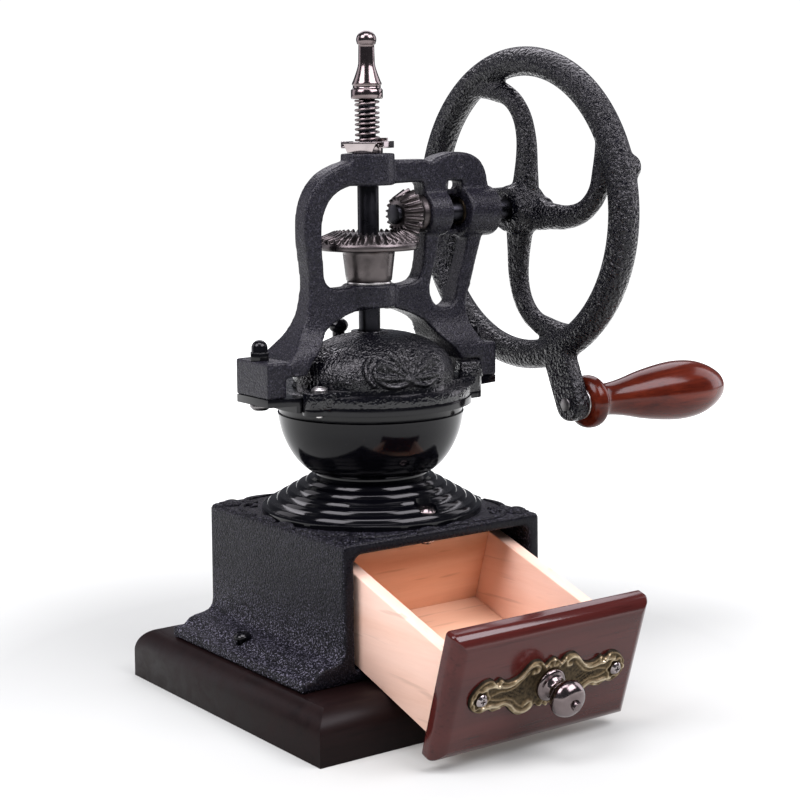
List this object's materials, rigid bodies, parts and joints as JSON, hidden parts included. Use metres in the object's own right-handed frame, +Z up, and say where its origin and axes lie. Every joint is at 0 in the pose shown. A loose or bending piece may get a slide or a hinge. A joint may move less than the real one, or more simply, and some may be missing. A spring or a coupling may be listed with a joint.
{
  "type": "hand crank coffee grinder",
  "caption": "Cast-iron hand crank coffee grinder with a flywheel, bevel gears in a yoke, a lidded hopper and a wooden drawer base.",
  "frame": {"origin": "on the floor under the vertical spindle", "axes": "+Z up, +X towards the wheel and handle, -Y towards the drawer front"},
  "size_m": [0.2933, 0.2407, 0.3275],
  "materials": {
    "wood_base": "dark red-brown lacquer",
    "cast_housing": "gloss black over a rough casting",
    "screw_black": "gloss black",
    "enamel_black": "gloss black enamel",
    "nut_zinc": "plain zinc",
    "burr_steel": "ground steel",
    "enamel_lid": "gloss black enamel",
    "cast_yoke": "satin black casting",
    "bolt_steel": "dark bright steel",
    "nut_black": "gloss black",
    "bronze_bush": "plain bronze",
    "shaft_steel": "oiled dark steel",
    "gear_steel": "oiled dark cast iron",
    "bright_plate": "bright nickel",
    "spring_wire": "spring steel",
    "cast_wheel": "gloss black over a rough casting",
    "wood_grip": "red-brown varnish",
    "wood_drawer": "bare pale hardwood",
    "wood_drawer_bottom": "bare plywood",
    "wood_front": "dark red-brown lacquer",
    "plate_bronze": "aged stamped bronze",
    "knob_metal": "darkened nickel"
  },
  "bodies": {
    "stand": {"base_board": "wood_base", "drawer_housing": "cast_housing", "housing_screws": "screw_black", "hopper_body": "enamel_black", "pedestal_screws": "screw_black", "pedestal_nuts": "nut_zinc", "outer_burr": "burr_steel", "hopper_lid": "enamel_lid", "lid_screws": "nut_zinc", "yoke": "cast_yoke", "yoke_bolts": "bolt_steel", "acorn_nuts": "nut_black", "axle_bushings": "bronze_bush", "spindle_bushings": "bronze_bush", "thrust_washer": "nut_zinc"},
    "spindle_set": {"spindle": "shaft_steel", "ring_gear": "gear_steel", "ring_gear_pin": "bolt_steel", "inner_burr": "burr_steel", "burr_nut": "nut_zinc", "spindle_spring": "spring_wire"},
    "adjuster": {"adjusting_plate": "bright_plate"},
    "top_nut": {"finial": "bright_plate"},
    "crank": {"crank_axle": "shaft_steel", "pinion": "gear_steel", "pinion_pin": "bolt_steel", "wheel": "cast_wheel", "wheel_washer": "shaft_steel", "wheel_nut": "nut_black", "handle_bolt": "bolt_steel", "grip_washer": "nut_zinc"},
    "handle": {"grip": "wood_grip"},
    "hopper_flap": {"hopper_door": "enamel_lid", "door_knob": "nut_black"},
    "drawer": {"drawer_sides": "wood_drawer", "drawer_back": "wood_drawer", "drawer_bottom": "wood_drawer_bottom", "drawer_front": "wood_front", "drawer_backplate": "plate_bronze", "backplate_screws": "bright_plate", "drawer_knob": "knob_metal", "knob_bolt": "knob_metal"}
  },
  "joints": [
    {"name": "crank_spin", "type": "hinge", "parent": "stand", "child": "crank", "pos_m": [0, 0, 0.2365], "axis": [1, 0, 0], "continuous": true},
    {"name": "spindle_spin", "type": "hinge", "parent": "stand", "child": "spindle_set", "pos_m": [0, 0, 0.2365], "axis": [0, 0, 1], "continuous": true},
    {"name": "adjuster_turn", "type": "hinge", "parent": "spindle_set", "child": "adjuster", "pos_m": [0, 0, 0.268], "axis": [0, 0, 1], "continuous": true},
    {"name": "top_nut_turn", "type": "hinge", "parent": "spindle_set", "child": "top_nut", "pos_m": [0, 0, 0.3], "axis": [0, 0, 1], "continuous": true},
    {"name": "handle_spin", "type": "hinge", "parent": "crank", "child": "handle", "pos_m": [0.15, -0.04181, 0.13801], "axis": [1, 0, 0], "continuous": true},
    {"name": "flap_swing", "type": "hinge", "parent": "stand", "child": "hopper_flap", "pos_m": [0, 0, 0.17], "axis": [0, 0, 1], "range_deg": [-64, 52]},
    {"name": "drawer_pull", "type": "hinge", "parent": "stand", "child": "drawer", "pos_m": [0, -0.00776, -0.15796], "axis": [1, 0, 0], "range_deg": [-17.4, 0]}
  ],
  "couplings": [
    {"joint": "spindle_spin", "follows": "crank_spin", "ratio": 0.47368}
  ]
}
